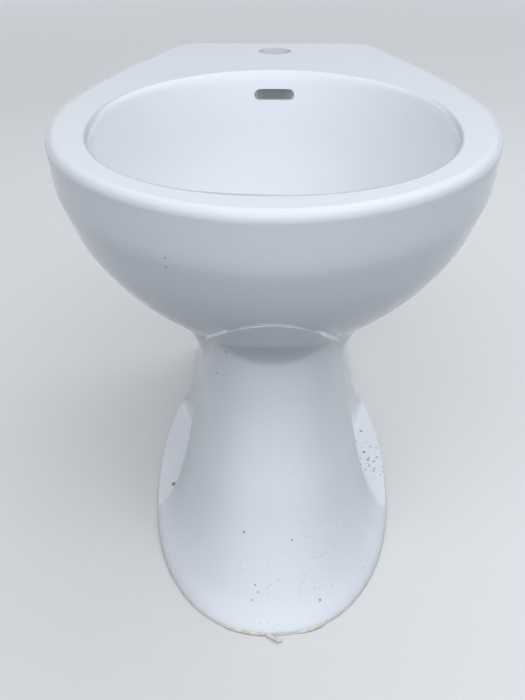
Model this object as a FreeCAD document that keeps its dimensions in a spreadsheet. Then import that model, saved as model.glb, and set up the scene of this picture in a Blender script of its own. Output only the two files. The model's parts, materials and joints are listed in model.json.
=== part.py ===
import FreeCAD, Part
import Sketcher
import math
import os

# Floor-standing bidet, modelled in millimetres.
# It faces -Y, its flat back is at +Y, +X is to its right as seen from the front, and the floor is z = 0.
# The origin lies on the floor, in the middle of the length and the width.

doc = FreeCAD.newDocument("bidet")
sheet = doc.addObject("Spreadsheet::Sheet", "Sizes")

# Driving sizes, by name
size = {
    # Overall sizes of the china
    "overall_length": 575.0,
    "overall_width": 384.0,
    "overall_height": 390.0,
    "widest_setback": 247.5,
    "underside_height": 190.0,
    "rim_front_round": 7.0,
    "rim_back_round": 16.0,
    "china_wall": 13.0,
    "joint_gap": 0.4,
    "overrun": 20.0,
    # Basin, tap deck and overflow
    "basin_width": 300.0,
    "basin_length": 375.0,
    "basin_floor": 25.0,
    "basin_widest_setback": 188.0,
    "basin_floor_width": 76.0,
    "basin_edge_round": 6.0,
    "basin_back_round": 15.0,
    "edge_lead": 0.6,
    "front_band": 37.5,
    "deck_thickness": 14.0,
    "deck_cavity_width": 112.0,
    "deck_cavity_setback": 290.0,
    "deck_well_setback": 549.5,
    "tap_hole_diameter": 35.0,
    "tap_hole_inset": 57.5,
    "overflow_width": 40.0,
    "overflow_height": 10.5,
    "overflow_drop": 21.5,
    "duct_width": 34.0,
    "duct_depth": 8.0,
    "duct_cover": 6.0,
    # Pedestal
    "foot_width": 235.0,
    "foot_rear_width": 195.0,
    "foot_front_setback": 38.0,
    "foot_widest_setback": 297.5,
    "neck_width": 140.0,
    "neck_rear_width": 136.0,
    "neck_front_setback": 105.5,
    "neck_widest_setback": 267.5,
    "neck_height": 181.0,
    "pedestal_drop": 45.0,
    "pedestal_wall": 10.0,
    "ledge_height": 9.0,
    "ledge_round": 8.0,
    "pocket_front_setback": 207.5,
    "pocket_front_half": 47.0,
    "pocket_corner": 14.0,
    "pocket_rear_setback": 418.5,
    "pocket_rear_half": 102.0,
    "screw_spacing": 180.0,
    "screw_setback": 287.5,
    "screw_hole_diameter": 9.0,
    "lip_half_width": 52.0,
    "lip_reach": 80.5,
    "lip_setback": 119.0,
    "lip_thickness": 1.2,
    # Waste and its fixings
    "waste_setback": 232.5,
    "waste_hole_diameter": 46.0,
    "recess_diameter": 72.0,
    "recess_depth": 3.0,
    "top_seal_bore": 45.0,
    "top_seal_thickness": 2.0,
    "flange_diameter": 64.0,
    "flange_thickness": 3.0,
    "flange_edge": 1.2,
    "seat_diameter": 48.0,
    "seat_depth": 4.0,
    "tail_diameter": 42.0,
    "tail_bore": 36.0,
    "tail_length": 62.0,
    "thread_clearance": 0.15,
    "grid_thickness": 5.0,
    "grid_drop": 27.0,
    "grid_hole_diameter": 7.6,
    "grid_hole_circle": 26.4,
    "waste_slot_width": 20.0,
    "waste_slot_height": 7.0,
    "lower_seal_diameter": 66.0,
    "lower_seal_thickness": 6.0,
    "washer_diameter": 63.0,
    "washer_thickness": 2.0,
    "backnut_flats": 58.0,
    "backnut_thickness": 10.0,
    "nut_chamfer": 2.0,
    # Push plug
    "plug_diameter": 60.0,
    "plug_edge": 2.6,
    "plug_crown": 3.4,
    "plug_travel": 9.0,
    "plug_clearance": 0.3,
    "boss_diameter": 20.0,
    "boss_length": 7.3,
    "plug_seal_diameter": 47.6,
    "plug_seal_taper": 5.4,
    "plug_seal_thickness": 3.6,
    "stem_diameter": 6.0,
    "stem_length": 52.0,
    "stem_depth": 5.5,
    "running_clearance": 0.08,
    "latch_diameter": 14.0,
    "latch_top_diameter": 13.0,
    "latch_length": 30.0,
    "latch_collar_diameter": 19.0,
    "latch_collar": 3.0,
    "latch_rise": 14.0,
    "spring_wire": 1.4,
    "spring_clearance": 0.4,
    # Bottle trap
    "tube_diameter": 32.0,
    "tube_wall": 1.6,
    "tube_clearance": 0.25,
    "tube_flange": 3.0,
    "inlet_seal_thickness": 3.0,
    "inlet_nut_diameter": 54.0,
    "inlet_nut_height": 22.0,
    "nut_lip": 5.0,
    "bottle_diameter": 60.0,
    "bottle_wall": 2.6,
    "bottle_height": 55.0,
    "bottle_drop": 90.0,
    "bottle_shoulder": 4.0,
    "bottle_neck_diameter": 44.0,
    "bottle_neck_height": 10.0,
    "slip_seal_thickness": 4.0,
    "slip_nut_diameter": 54.0,
    "slip_nut_height": 17.0,
    "cup_diameter": 67.0,
    "cup_depth": 29.0,
    "cup_floor": 4.0,
    "cup_lap": 9.5,
    "cup_seal_thickness": 3.0,
    "dip_depth": 11.0,
    "outlet_rise": 31.0,
    "outlet_stub_diameter": 39.0,
    "outlet_stub_length": 24.0,
    "outlet_seal_thickness": 3.0,
    "outlet_nut_diameter": 50.0,
    "outlet_nut_length": 20.0,
    "pipe_insertion": 12.0,
    "pipe_back_inset": 5.0,
    "pipe_spigot": 60.0,
    "bead_width": 3.0,
    "bead_depth": 1.0,
    "rib_depth": 1.2,
    "rib_width": 3.0,
}
for row, (alias, value) in enumerate(size.items(), start=1):
    sheet.set("A%d" % row, alias)
    sheet.set("B%d" % row, str(value))
    sheet.setAlias("B%d" % row, alias)
rib_count = 12
grid_hole_count = 5

doc.recompute()

# Places along the length, worked out from the front of the rim
front_y = -size["overall_length"] / 2
back_y = size["overall_length"] / 2
rim_z = size["overall_height"]
floor_z = size["underside_height"] + size["basin_floor"]
pedestal_top = rim_z - size["pedestal_drop"]
waste_y = front_y + size["waste_setback"]


def behind_front(alias):
    return front_y + size[alias]


# A length that follows several sizes is written as words: "underside_height + basin_floor".
def total(words):
    value = 0
    sign = 1
    for word in words.split():
        if word in "+-":
            sign = 1 if word == "+" else -1
        elif word.startswith("half:"):
            value += sign * size[word[len("half:"):]] / 2
        else:
            value += sign * size[word]
    return value


def formula(words):
    terms = []
    for word in words.split():
        if word in "+-":
            terms.append(word)
        elif word.startswith("half:"):
            terms.append("Sizes.%s / 2" % word[len("half:"):])
        else:
            terms.append("Sizes.%s" % word)
    return " ".join(terms)


# Closed rings of points and the skins through them


def power_arc(angle, roundness):
    wide = math.cos(angle)
    reach = math.sin(angle)
    return (abs(wide) ** (2 / roundness), abs(reach) ** (2 / roundness))


def mirrored(points):
    return points + [FreeCAD.Vector(-p.x, p.y, p.z) for p in reversed(points[1:-1])]


def ring(right_side, height):
    return mirrored([FreeCAD.Vector(x, y, height) for x, y in right_side])


def mean_steps(rows):
    steps = [0]
    for row, following in zip(rows, rows[1:]):
        apart = [(p - q).Length for p, q in zip(row, following)]
        steps.append(steps[-1] + sum(apart) / len(apart))
    return [step / steps[-1] for step in steps]


def ring_curve(points, steps):
    curve = Part.BSplineCurve()
    curve.interpolate(Points=points, PeriodicFlag=True, Parameters=steps)
    return curve


def skin(rings):
    around = mean_steps([[point] for point in rings[0] + rings[0][:1]])
    along = mean_steps(rings)
    curves = [ring_curve(points, around) for points in rings]
    lines = []
    for poles in zip(*[curve.getPoles() for curve in curves]):
        line = Part.BSplineCurve()
        line.interpolate(Points=list(poles), Parameters=along)
        lines.append(line)
    surface = Part.BSplineSurface()
    surface.buildFromPolesMultsKnots(
        [line.getPoles() for line in lines],
        curves[0].getMultiplicities(), lines[0].getMultiplicities(),
        curves[0].getKnots(), lines[0].getKnots(),
        True, False, curves[0].Degree, lines[0].Degree)
    caps = [Part.Face(Part.Wire(curve.toShape())) for curve in (curves[0], curves[-1])]
    shell = Part.Shell([surface.toShape()] + caps)
    shell.sewShape()
    solid = Part.Solid(shell)
    if solid.Volume < 0:
        solid.reverse()
    return solid


def shape_object(label, shape):
    feature = doc.addObject("Part::Feature", label)
    feature.Label = label
    feature.Shape = shape
    return feature


def cut(label, base, tool):
    feature = doc.addObject("Part::Cut", label)
    feature.Label = label
    feature.Base = base
    feature.Tool = tool
    feature.Refine = False
    return feature


def fuse(label, first, *others):
    feature = doc.addObject("Part::MultiFuse", label)
    feature.Label = label
    feature.Shapes = [first] + list(others)
    feature.Refine = False
    return feature


def common(label, first, second):
    feature = doc.addObject("Part::MultiCommon", label)
    feature.Label = label
    feature.Shapes = [first, second]
    feature.Refine = False
    return feature


def bind(feature, words_by_name):
    for name, words in words_by_name.items():
        feature.setExpression(name, formula(words))


def block(label, half_width, y_low, y_high, z_low, z_high):
    box = Part.makeBox(
        2 * half_width, y_high - y_low, z_high - z_low,
        FreeCAD.Vector(-half_width, y_low, z_low))
    return shape_object(label, box)


# Plan of the rim: a rounded front, sides that taper towards the back and a flat back edge.
# Behind the widest station each row gives the width and the way to the back as shares.
rim_roundness_share = 1.95
rim_rear_shares = (
    (1.0, 0.11), (0.957, 0.296), (0.869, 0.504), (0.751, 0.711), (0.661, 0.855), (0.612, 0.941),
    (0.582, 0.9716), (0.533, 0.992), (0.47, 0.9995), (0.40, 1.0), (0.23, 1.0), (0.0, 1.0))
front_turn_shares = (1.0, 0.77, 0.52, 0.26, 0.0)

# The rounded edge of the rim is tight at the front and softer at the back: along the plan, the share
# of the way from the front radius to the back radius.
rim_round_shares = (0.0, 0.0, 0.05, 0.15, 0.3, 0.5, 0.85) + (1.0,) * 10

# Rows of the rounded edge and the start of the flank below it: lean inwards and drop, as shares of
# the radius
rim_turn_shares = (1.0, 0.8, 0.6, 0.4, 0.2, 0.0)
flank_lean_share = 0.1
flank_drop_share = 1.6

# Outside of the bowl below the rounded rim: height above the underside, width, front and back reach
bowl_shares = (
    (0.81, 0.98, 0.974, 1.0),
    (0.72, 0.948, 0.949, 1.0),
    (0.61, 0.902, 0.903, 0.99),
    (0.485, 0.819, 0.829, 0.95),
    (0.365, 0.708, 0.727, 0.88),
    (0.26, 0.579, 0.61, 0.783),
    (0.18, 0.4766, 0.521, 0.668),
    (0.115, 0.387, 0.447, 0.532),
    (0.055, 0.3137, 0.381, 0.388),
    (0.0, 0.2463, 0.32, 0.26))


def rim_side(half, front_reach, back_reach):
    widest_y = behind_front("widest_setback")
    side = []
    for turn in front_turn_shares:
        across, along = power_arc(turn * math.pi / 2, rim_roundness_share)
        side.append((half * across, widest_y - front_reach * along))
    for across, along in rim_rear_shares:
        side.append((half * across, widest_y + back_reach * along))
    return side


def rim_edge_ring(reaches, lean_share, drop_share):
    tight = size["rim_front_round"]
    soft = size["rim_back_round"]
    outer = rim_side(*reaches)
    inner = rim_side(*[reach - soft for reach in reaches])
    points = []
    for (x, y), (inner_x, inner_y), share in zip(outer, inner, rim_round_shares):
        radius = tight + share * (soft - tight)
        way = lean_share * radius / soft
        points.append(FreeCAD.Vector(
            x + way * (inner_x - x), y + way * (inner_y - y), rim_z - drop_share * radius))
    return mirrored(points)


def bowl_outside(grow):
    half = size["overall_width"] / 2
    front_reach = size["widest_setback"]
    back_reach = size["overall_length"] - size["widest_setback"]
    height = rim_z - size["underside_height"]
    reaches = [half + grow, front_reach + grow, back_reach + grow]
    rings = []
    for turn in rim_turn_shares:
        lean = 1 - math.cos(turn * math.pi / 2)
        drop = 1 - math.sin(turn * math.pi / 2)
        rings.append(rim_edge_ring(reaches, lean, drop))
    rings.append(rim_edge_ring(reaches, flank_lean_share, flank_drop_share))
    for level, wide, front, back in bowl_shares:
        side = rim_side(half * wide + grow, front_reach * front + grow, back_reach * back + grow)
        rings.append(ring(side, size["underside_height"] + level * height - (1 - level) * grow))
    return skin(rings)


# Inside of the basin below its rounded edge: height above the floor, then width, front and back as
# shares of what the opening adds to the flat floor round the waste
basin_shares = (
    (0.83, 0.997, 0.995, 0.965),
    (0.66, 0.984, 0.975, 0.915),
    (0.515, 0.945, 0.93, 0.85),
    (0.40, 0.86, 0.834, 0.765),
    (0.27, 0.67, 0.656, 0.61),
    (0.17, 0.48, 0.49, 0.45),
    (0.095, 0.33, 0.338, 0.285),
    (0.04, 0.17, 0.178, 0.12),
    (0.0, 0.0, 0.0, 0.0))
basin_turn_shares = (1.0, 0.77, 0.52, 0.26, 0.0, -0.26, -0.52, -0.77, -1.0)
edge_drop_shares = (0.0, 0.04, 0.13, 0.27, 0.5, 0.8)
front_roundness_share = 2.25
back_roundness_share = 2.0


def edge_flare(drop, radius):
    left = max(radius - drop, 0)
    return radius - math.sqrt(radius * radius - left * left)


def basin_side(half, low_y, high_y, centre_y):
    side = []
    for turn in basin_turn_shares:
        roundness = front_roundness_share if turn > 0 else back_roundness_share
        across, along = power_arc(turn * math.pi / 2, roundness)
        reach = low_y - centre_y if turn > 0 else high_y - centre_y
        side.append((half * across, centre_y + reach * along))
    return side


def basin_inside(grow):
    front = front_y + size["front_band"]
    back = front + size["basin_length"]
    middle = front + size["basin_widest_setback"]
    half = size["basin_width"] / 2
    floor_half = size["basin_floor_width"] / 2
    rings = []
    for share in edge_drop_shares:
        drop = share * size["basin_back_round"]
        flare = edge_flare(drop, size["basin_edge_round"]) + grow
        back_flare = edge_flare(drop, size["basin_back_round"]) + grow
        side = basin_side(half + flare, front - flare, back + back_flare, middle)
        rings.append(ring(side, rim_z + size["edge_lead"] + grow - drop))
    for level, wide, ahead, behind in basin_shares:
        side = basin_side(
            floor_half + wide * (half - floor_half) + grow,
            waste_y - floor_half + ahead * (front - waste_y + floor_half) - grow,
            waste_y + floor_half + behind * (back - waste_y - floor_half) + grow,
            waste_y + (wide + ahead) / 2 * (middle - waste_y))
        rings.append(ring(side, floor_z + level * (rim_z - floor_z) - grow))
    return skin(rings)


def upright_hole(label, diameter, centre_y, z_low, z_high, centre_x=0):
    hole = Part.makeCylinder(
        size[diameter] / 2, z_high - z_low, FreeCAD.Vector(centre_x, centre_y, z_low))
    return shape_object(label, hole)


def make_bowl():
    dished = cut(
        "bowl_dished", shape_object("bowl_block", bowl_outside(0)),
        shape_object("basin_space", basin_inside(0)))

    wall = size["china_wall"]
    backing = size["duct_cover"] * 2 + size["duct_depth"]
    behind_basin = behind_front("deck_cavity_setback")
    deck_under = rim_z - size["deck_thickness"]
    backed_basin = basin_inside(backing)
    below = size["underside_height"] - size["overrun"]
    lobes = bowl_outside(-wall).common(Part.makeBox(
        size["overall_width"], back_y - behind_basin, deck_under - below,
        FreeCAD.Vector(-size["overall_width"] / 2, behind_basin, below)))
    well = Part.makeBox(
        size["deck_cavity_width"], size["deck_well_setback"] - size["deck_cavity_setback"],
        deck_under - below,
        FreeCAD.Vector(-size["deck_cavity_width"] / 2, behind_basin, below))
    cavity = shape_object("deck_cavity", lobes.fuse(well).cut(backed_basin))
    hollowed = cut("bowl_hollowed", dished, cavity)

    slot_z = rim_z - size["overflow_drop"]
    slot_back = front_y + size["front_band"] + size["basin_length"] + size["duct_cover"]
    slot = overflow_slot(slot_z, behind_basin, slot_back)
    overflow = shape_object("overflow_way", overflow_duct(slot_z).fuse(slot))
    drained = cut("bowl_drained", hollowed, overflow)

    tap_y = back_y - size["tap_hole_inset"]
    holes = fuse(
        "bowl_holes",
        upright_hole("tap_hole", "tap_hole_diameter", tap_y, deck_under - wall, rim_z + wall),
        upright_hole("waste_hole", "waste_hole_diameter", waste_y, below, rim_z),
        upright_hole("waste_recess", "recess_diameter", waste_y,
                     floor_z - size["recess_depth"], floor_z + wall))
    return cut("bowl", drained, holes)


# The duct follows the middle of the basin's back from the slot down to the waste, inside the wall.
def duct_line(away, top_z):
    half = size["basin_floor_width"] / 2
    back = front_y + size["front_band"] + size["basin_length"]
    spots = [FreeCAD.Vector(-size["duct_width"] / 2, waste_y, floor_z - away)]
    for level, wide, ahead, behind in reversed(basin_shares):
        y = waste_y + half + behind * (back - waste_y - half) + away
        spots.append(FreeCAD.Vector(spots[0].x, y, floor_z + level * (rim_z - floor_z) - away))
    spots.append(FreeCAD.Vector(spots[0].x, spots[-1].y, top_z))
    return Part.makePolygon(spots).Edges


def overflow_duct(slot_z):
    top_z = slot_z + size["overflow_height"] / 2
    near = duct_line(size["duct_cover"], top_z)
    far = duct_line(size["duct_cover"] + size["duct_depth"], top_z)
    ends = []
    for side in (0, -1):
        ends.append(Part.makeLine(near[side].Vertexes[side].Point, far[side].Vertexes[side].Point))
    outline = Part.Wire(Part.__sortEdges__(near + far + ends))
    return Part.Face(outline).extrude(FreeCAD.Vector(size["duct_width"], 0, 0))


def overflow_slot(slot_z, y_low, y_high):
    radius = size["overflow_height"] / 2
    straight = size["overflow_width"] / 2 - radius
    right = FreeCAD.Vector(straight, y_low, slot_z)
    left = FreeCAD.Vector(-straight, y_low, slot_z)
    up = FreeCAD.Vector(0, 0, radius)
    out = FreeCAD.Vector(radius, 0, 0)
    edges = [
        Part.LineSegment(left + up, right + up).toShape(),
        Part.Arc(right + up, right + out, right - up).toShape(),
        Part.LineSegment(right - up, left - up).toShape(),
        Part.Arc(left - up, left - out, left + up).toShape()]
    return Part.Face(Part.Wire(edges)).extrude(FreeCAD.Vector(0, y_high - y_low, 0))


# Plan of the foot and of the neck: rounded front, then width and way to the back as shares, past the
# flat back, which trims them. The sides run from the widest station to the rear width.
foot_roundness_share = 2.28
rear_run_shares = (
    (0.03, 0.12), (0.16, 0.24), (0.38, 0.37), (0.70, 0.48), (0.94, 0.60), (1.0, 0.74), (1.0, 1.0))
rear_tail_shares = ((1.0, 1.1), (0.80, 1.2), (0.45, 1.22), (0.0, 1.22))

# Up the pedestal: height as a share of the neck's height, then how far the sides and the front have
# gone from the foot to the neck
pedestal_shares = (
    (0.0, 0.0, 0.0),
    (0.011, 0.0, 0.002),
    (0.022, 0.005, 0.018),
    (0.04, 0.018, 0.065),
    (0.055, 0.045, 0.11),
    (0.07, 0.09, 0.15),
    (0.11, 0.21, 0.245),
    (0.16, 0.325, 0.335),
    (0.23, 0.45, 0.445),
    (0.33, 0.58, 0.575),
    (0.44, 0.69, 0.69),
    (0.55, 0.775, 0.775),
    (0.67, 0.87, 0.87),
    (0.76, 0.92, 0.925),
    (0.90, 0.975, 0.98),
    (1.0, 1.0, 1.0),
    (1.10, 0.98, 1.0),
    (1.19, 0.93, 1.0),
    (1.26, 0.86, 0.98),
    (1.31, 0.78, 0.90),
    (1.36, 0.70, 0.77),
    (1.42, 0.64, 0.60))
below_foot_share = -0.3


def plan_side(width, rear_width, front_setback, widest_setback, grow):
    widest_y = behind_front(widest_setback)
    half = size[width] / 2 + grow
    rear_half = size[rear_width] / 2 + grow
    reach = size[widest_setback] - size[front_setback] + grow
    run = back_y - widest_y
    side = []
    for turn in front_turn_shares:
        across, along = power_arc(turn * math.pi / 2, foot_roundness_share)
        side.append((half * across, widest_y - reach * along))
    for narrowing, along in rear_run_shares:
        side.append((half + narrowing * (rear_half - half), widest_y + run * along))
    for across, along in rear_tail_shares:
        side.append((rear_half * across, widest_y + run * along))
    return side


def pedestal_skin(grow, past):
    foot = plan_side("foot_width", "foot_rear_width", "foot_front_setback", "foot_widest_setback", grow)
    neck = plan_side("neck_width", "neck_rear_width", "neck_front_setback", "neck_widest_setback", grow)
    levels = list(pedestal_shares)
    levels.append(((pedestal_top + past) / size["neck_height"],) + levels[-1][1:])
    if past:
        levels.insert(0, (-past / size["neck_height"], below_foot_share, below_foot_share))
    rings = []
    for level, side_share, front_share in levels:
        side = []
        for (foot_x, foot_y), (neck_x, neck_y) in zip(foot, neck):
            x = foot_x + side_share * (neck_x - foot_x)
            y = foot_y + front_share * (neck_y - foot_y)
            side.append((x, y))
        rings.append(ring(side, level * size["neck_height"]))
    return skin(rings)


def pocket(side, grow):
    front = behind_front("pocket_front_setback") - grow
    start = behind_front("pocket_front_setback")
    rear = behind_front("pocket_rear_setback")
    near = size["pocket_front_half"]
    far = size["foot_width"] / 2 + size["overrun"]
    lean = (size["pocket_rear_half"] - near) / (rear - start)
    inset = grow * math.hypot(1, lean)
    low = size["ledge_height"] - grow
    corners = [
        FreeCAD.Vector(far, front, low),
        FreeCAD.Vector(far, start + (far - near + inset) / lean, low),
        FreeCAD.Vector(near - inset + lean * (front - start), front, low),
        FreeCAD.Vector(far, front, low)]
    space = Part.Face(Part.makePolygon(corners)).extrude(FreeCAD.Vector(0, 0, pedestal_top))
    corner_edge = [edge for edge in space.Edges if edge.BoundBox.XMax < near + size["joint_gap"]]
    space = space.makeFillet(size["pocket_corner"] - grow / 2, corner_edge)
    floor_edges = [
        edge for edge in space.Edges
        if edge.BoundBox.ZMax < low + size["joint_gap"] and edge.BoundBox.XMin < far - size["joint_gap"]]
    if grow == 0:
        space = space.makeFillet(size["ledge_round"], floor_edges)
    if side < 0:
        space = space.mirror(FreeCAD.Vector(0, 0, 0), FreeCAD.Vector(1, 0, 0))
    return space


def make_pedestal():
    wall = size["pedestal_wall"]
    far = size["overall_width"]
    trim = block("flat_back", far, front_y, back_y, 0, pedestal_top)
    solid = common("pedestal_block", shape_object("pedestal_skin", pedestal_skin(0, 0)), trim)
    hollow = pedestal_skin(-wall, size["overrun"])
    for side in (1, -1):
        hollow = hollow.cut(pocket(side, wall))
    shell = cut("pedestal_shell", solid, shape_object("pedestal_hollow", hollow))
    shell = cut("right_recessed", shell, shape_object("right_pocket", pocket(1, 0)))
    shell = cut("left_recessed", shell, shape_object("left_pocket", pocket(-1, 0)))

    lip_y = behind_front("lip_setback")
    ellipse = Part.Ellipse(FreeCAD.Vector(0, 0, 0), size["lip_reach"], size["lip_half_width"]).toShape()
    ellipse.rotate(FreeCAD.Vector(0, 0, 0), FreeCAD.Vector(0, 0, 1), 90)
    ellipse.translate(FreeCAD.Vector(0, lip_y, size["neck_height"]))
    lip_space = Part.Face(Part.Wire(ellipse)).extrude(
        FreeCAD.Vector(0, 0, rim_z - size["rim_back_round"] - size["neck_height"]))
    front_half = Part.makeBox(
        far, lip_y - front_y, rim_z, FreeCAD.Vector(-far / 2, front_y, 0))
    lip = bowl_outside(size["lip_thickness"]).common(lip_space).common(front_half)
    joined = fuse("pedestal_lipped", shell, shape_object("pedestal_lip", lip))

    seat = shape_object("bowl_seat", bowl_outside(size["joint_gap"]))
    seated = cut("pedestal_seated", joined, seat)
    screw_y = behind_front("screw_setback")
    screw_x = size["screw_spacing"] / 2
    low = -size["ledge_height"]
    high = size["ledge_height"] * 2
    screws = fuse(
        "screw_holes",
        upright_hole("right_screw_hole", "screw_hole_diameter", screw_y, low, high, screw_x),
        upright_hole("left_screw_hole", "screw_hole_diameter", screw_y, low, high, -screw_x))
    return cut("pedestal", seated, screws)


# Turned pieces: closed profiles of corners (radius, height) revolved round an upright or lying axis.
# Heights are measured from the piece's own base; None puts a corner on the axis or on the base.
waste_axis = "waste_setback - half:overall_length"
flange_seat = "underside_height + basin_floor - recess_depth + top_seal_thickness"
flange_top = flange_seat + " + flange_thickness"
waste_low = flange_seat + " - tail_length"
bottle_low = waste_low + " - bottle_drop"
grid_top = flange_seat + " - grid_drop"
plug_low = flange_top + " + plug_clearance + plug_travel"
boss_low = plug_low + " - boss_length"


def origin_plane(body, role):
    return [part for part in body.Origin.OriginFeatures if part.Role == role][0]


def new_sketch(body, name, role):
    sketch = body.newObject("Sketcher::SketchObject", name)
    sketch.AttachmentSupport = [(origin_plane(body, role), "")]
    sketch.MapMode = "FlatFace"
    return sketch


def pin_point(sketch, line, end, across, up):
    for words, kind, axis in ((across, "DistanceX", -2), (up, "DistanceY", -1)):
        if words is None:
            sketch.addConstraint(Sketcher.Constraint("PointOnObject", line, end, axis))
        else:
            row = sketch.addConstraint(Sketcher.Constraint(kind, -1, 1, line, end, total(words)))
            sketch.setExpression("Constraints[%d]" % row, formula(words))


def profile_sketch(body, corners, dome):
    sketch = new_sketch(body, body.Label + "_profile", "XZ_Plane")
    spots = []
    for across, up in corners:
        spots.append(FreeCAD.Vector(total(across or ""), total(up or ""), 0))
    for row, spot in enumerate(spots):
        following = spots[(row + 1) % len(spots)]
        if row == dome:
            rise = following.y - spot.y
            radius = (spot.x * spot.x + rise * rise) / (2 * rise)
            circle = Part.Circle(FreeCAD.Vector(0, following.y - radius, 0), FreeCAD.Vector(0, 0, 1), radius)
            sketch.addGeometry(Part.ArcOfCircle(circle, math.acos(spot.x / radius), math.pi / 2))
        else:
            sketch.addGeometry(Part.LineSegment(spot, following))
    for row in range(len(spots)):
        sketch.addConstraint(Sketcher.Constraint("Coincident", row, 2, (row + 1) % len(spots), 1))
    if dome is not None:
        sketch.addConstraint(Sketcher.Constraint("PointOnObject", dome, 3, -2))
    for row, (across, up) in enumerate(corners):
        pin_point(sketch, row, 1, across, up)
    return sketch


def turned(label, base, corners, lying=False, dome=None):
    body = doc.addObject("PartDesign::Body", label)
    body.Label = label
    sketch = profile_sketch(body, corners, dome)
    revolved = body.newObject("PartDesign::Revolution", label + "_turned")
    revolved.Profile = sketch
    revolved.ReferenceAxis = (sketch, ["V_Axis"])
    revolved.Angle = 360
    if lying:
        body.Placement = FreeCAD.Placement(
            FreeCAD.Vector(0, 0, 0), FreeCAD.Rotation(FreeCAD.Vector(1, 0, 0), -90))
        along = waste_axis + " + " + base if base else waste_axis
        bind(body, {"Placement.Base.y": along, "Placement.Base.z": bottle_low + " + outlet_rise"})
    else:
        bind(body, {"Placement.Base.y": waste_axis, "Placement.Base.z": base})
    return body


def sleeve(label, base, inner, outer, height, lying=False):
    return turned(label, base, [(inner, None), (outer, None), (outer, height), (inner, height)], lying)


def rod(label, base, radius, height, lying=False):
    return turned(label, base, [(None, None), (radius, None), (radius, height), (None, height)], lying)


def repeat(body, feature, sketch, count):
    pattern = body.newObject("PartDesign::PolarPattern", body.Label + "_round")
    pattern.Originals = [feature]
    pattern.Axis = (sketch, ["N_Axis"])
    pattern.Angle = 360
    pattern.Occurrences = count
    body.Tip = pattern


def add_ribs(body, radius, low, height):
    sketch = new_sketch(body, body.Label + "_rib", "XY_Plane")
    bind(sketch, {"AttachmentOffset.Base.z": low})
    inner = total(radius + " - rib_depth")
    outer = total(radius + " + rib_depth")
    half = total("half:rib_width")
    spots = [
        FreeCAD.Vector(inner, -half, 0), FreeCAD.Vector(outer, -half, 0),
        FreeCAD.Vector(outer, half, 0), FreeCAD.Vector(inner, half, 0)]
    for row, spot in enumerate(spots):
        sketch.addGeometry(Part.LineSegment(spot, spots[(row + 1) % len(spots)]))
    for row in range(len(spots)):
        sketch.addConstraint(Sketcher.Constraint("Coincident", row, 2, (row + 1) % len(spots), 1))
    for upright in (1, 3):
        sketch.addConstraint(Sketcher.Constraint("Symmetric", upright, 1, upright, 2, -1))
    pin_point(sketch, 2, 1, radius + " + rib_depth", "half:rib_width")
    pin_point(sketch, 3, 1, radius + " - rib_depth", "half:rib_width")
    rib = body.newObject("PartDesign::Pad", body.Label + "_rib_pad")
    rib.Profile = sketch
    bind(rib, {"Length": height})
    repeat(body, rib, sketch, rib_count)


def make_waste_body():
    grid_high = "tail_length - grid_drop"
    grid_low = grid_high + " - grid_thickness"
    flange_high = "tail_length + flange_thickness"
    latch_bore = "half:latch_diameter + thread_clearance"
    body = turned("waste_blank", waste_low, [
        (latch_bore, grid_low),
        (latch_bore, grid_high),
        ("half:tail_bore", grid_high),
        ("half:tail_bore", flange_high + " - seat_depth"),
        ("half:seat_diameter", flange_high),
        ("half:flange_diameter - flange_edge", flange_high),
        ("half:flange_diameter", flange_high + " - flange_edge"),
        ("half:flange_diameter", "tail_length"),
        ("half:tail_diameter", "tail_length"),
        ("half:tail_diameter", None),
        ("half:tail_bore", None),
        ("half:tail_bore", grid_low)])
    sketch = new_sketch(body, "grid_hole", "XY_Plane")
    centre = FreeCAD.Vector(total("half:grid_hole_circle"), 0, 0)
    sketch.addGeometry(Part.Circle(centre, FreeCAD.Vector(0, 0, 1), total("half:grid_hole_diameter")))
    pin_point(sketch, 0, 3, "half:grid_hole_circle", None)
    row = sketch.addConstraint(Sketcher.Constraint("Diameter", 0, size["grid_hole_diameter"]))
    sketch.setExpression("Constraints[%d]" % row, formula("grid_hole_diameter"))
    hole = body.newObject("PartDesign::Pocket", "grid_hole_cut")
    hole.Profile = sketch
    hole.Reversed = True
    bind(hole, {"Length": "tail_length"})
    repeat(body, hole, sketch, grid_hole_count)
    way = doc.addObject("Part::Box", "waste_overflow_way")
    bind(way, {
        "Length": "waste_slot_width",
        "Width": "flange_diameter",
        "Height": "waste_slot_height",
        "Placement.Base.y": waste_axis + " - half:flange_diameter",
        "Placement.Base.z": "underside_height + basin_floor - duct_cover - half:duct_depth"
                            " - half:waste_slot_height"})
    way.setExpression("Placement.Base.x", "-Sizes.waste_slot_width / 2")
    return cut("waste_body", body, way)


def make_backnut():
    bore = "half:tail_diameter + thread_clearance"
    corner = "half:backnut_flats + nut_chamfer + nut_chamfer"
    low = "underside_height - lower_seal_thickness - washer_thickness - backnut_thickness"
    blank = turned("backnut_blank", low, [
        (bore, None),
        ("half:backnut_flats", None),
        (corner, "nut_chamfer"),
        (corner, "backnut_thickness"),
        (bore, "backnut_thickness")])
    prism = doc.addObject("Part::Prism", "backnut_flats_prism")
    prism.Polygon = 6
    prism.setExpression("Circumradius", "Sizes.backnut_flats / sqrt(3)")
    bind(prism, {
        "Height": "backnut_thickness",
        "Placement.Base.y": waste_axis,
        "Placement.Base.z": low})
    return common("waste_backnut", blank, prism)


def make_waste():
    thread = "half:tail_diameter + thread_clearance"
    seal_low = "underside_height - lower_seal_thickness"
    return [
        make_waste_body(),
        sleeve("waste_top_seal", "underside_height + basin_floor - recess_depth",
               "half:top_seal_bore", "half:flange_diameter", "top_seal_thickness"),
        sleeve("waste_lower_seal", seal_low, thread, "half:lower_seal_diameter", "lower_seal_thickness"),
        sleeve("waste_washer", seal_low + " - washer_thickness", thread,
               "half:washer_diameter", "washer_thickness"),
        make_backnut()]


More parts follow.
